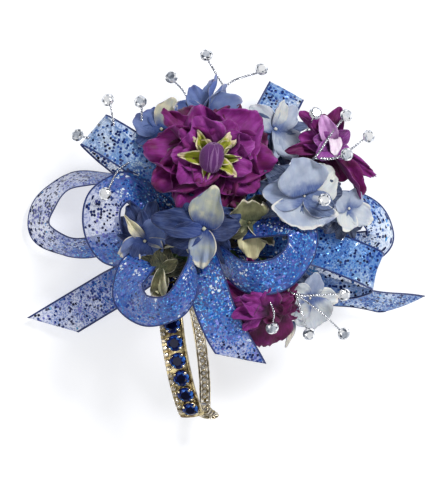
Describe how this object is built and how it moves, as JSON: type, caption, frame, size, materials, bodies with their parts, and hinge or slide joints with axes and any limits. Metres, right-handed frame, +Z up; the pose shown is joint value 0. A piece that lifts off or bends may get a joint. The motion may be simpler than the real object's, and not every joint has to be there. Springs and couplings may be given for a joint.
{
  "type": "corsage",
  "caption": "Wrist corsage of purple and blue blooms with a bow of sheer ribbon, sprays of wired stones and an open cuff of set stones.",
  "frame": {"origin": "on the table that the corsage lies on, under the middle of its box", "axes": "+X along the bow to its right tail, +Y from the cuff's open end to the top of the flowers, +Z up from the table"},
  "size_m": [0.1612, 0.149, 0.069],
  "materials": {
    "gold": "polished",
    "silver_wire": "bright twisted wire",
    "blue_stone": "cut and polished",
    "clear_stone": "cut and polished",
    "stem": "waxed tape",
    "ribbon": "sheer organza with glitter and satin edges",
    "purple_petal": "velvety petal",
    "blue_petal": "veined petal",
    "green_petal": "veined petal"
  },
  "bodies": {
    "corsage": {"crown_plate": "gold", "stem_bundle": "stem", "bow_tie": "ribbon", "spray_gem_01": "clear_stone", "spray_gem_02": "clear_stone", "spray_gem_03": "clear_stone", "spray_gem_04": "clear_stone", "spray_gem_05": "clear_stone", "spray_gem_06": "clear_stone", "spray_gem_07": "clear_stone", "spray_gem_08": "clear_stone", "spray_gem_09": "clear_stone", "spray_gem_10": "clear_stone", "spray_gem_11": "clear_stone", "spray_gem_12": "clear_stone", "spray_gem_13": "clear_stone", "spray_gem_14": "clear_stone", "spray_gem_15": "clear_stone", "spray_gem_16": "clear_stone", "left_spray_wire": "silver_wire", "top_spray_wire": "silver_wire", "right_spray_wire": "silver_wire", "floret_stone_wire": "silver_wire", "lower_spray_wire": "silver_wire", "main_bloom_bud": "purple_petal", "main_bloom_sepals": "green_petal", "main_bloom_inner_petals": "purple_petal", "main_bloom_outer_petals": "purple_petal", "right_bloom_inner_petals": "purple_petal", "right_bloom_outer_petals": "purple_petal", "lower_bloom_inner_petals": "purple_petal", "lower_bloom_outer_petals": "purple_petal", "floret_middle": "blue_petal", "floret_right": "blue_petal", "floret_left": "blue_petal", "floret_lower_left": "green_petal", "floret_centre_right": "green_petal", "floret_top": "blue_petal", "floret_upper_left": "blue_petal", "floret_top_right": "blue_petal", "floret_far_right": "blue_petal", "floret_lower_right": "blue_petal", "floret_back": "blue_petal", "bow_loop_upper_left": "ribbon", "bow_loop_left": "ribbon", "bow_loop_middle_left": "ribbon", "bow_loop_lower_left": "ribbon", "bow_loop_ring": "ribbon", "bow_loop_right": "ribbon", "bow_loop_lower_right": "ribbon", "bow_loop_top": "ribbon", "bow_tail_left": "ribbon", "bow_tail_bottom": "ribbon", "bow_tail_right": "ribbon"},
    "near_arm": {"near_arm_band": "gold", "near_arm_stones": "blue_stone", "near_arm_tip": "gold"},
    "far_arm": {"far_arm_band": "gold", "far_arm_stones": "clear_stone", "far_arm_tip": "gold"}
  },
  "joints": [
    {"name": "near_arm_spring", "type": "hinge", "parent": "corsage", "child": "near_arm", "pos_m": [-0.02197, -0.01503, 0.03325], "axis": [-0.9629, -0.1491, -0.225], "range_deg": [0, 8], "stiffness_Nm_per_rad": 0.8},
    {"name": "far_arm_spring", "type": "hinge", "parent": "corsage", "child": "far_arm", "pos_m": [-0.01739, -0.01432, 0.01318], "axis": [0.9629, 0.1491, 0.225], "range_deg": [0, 8], "stiffness_Nm_per_rad": 0.8}
  ]
}
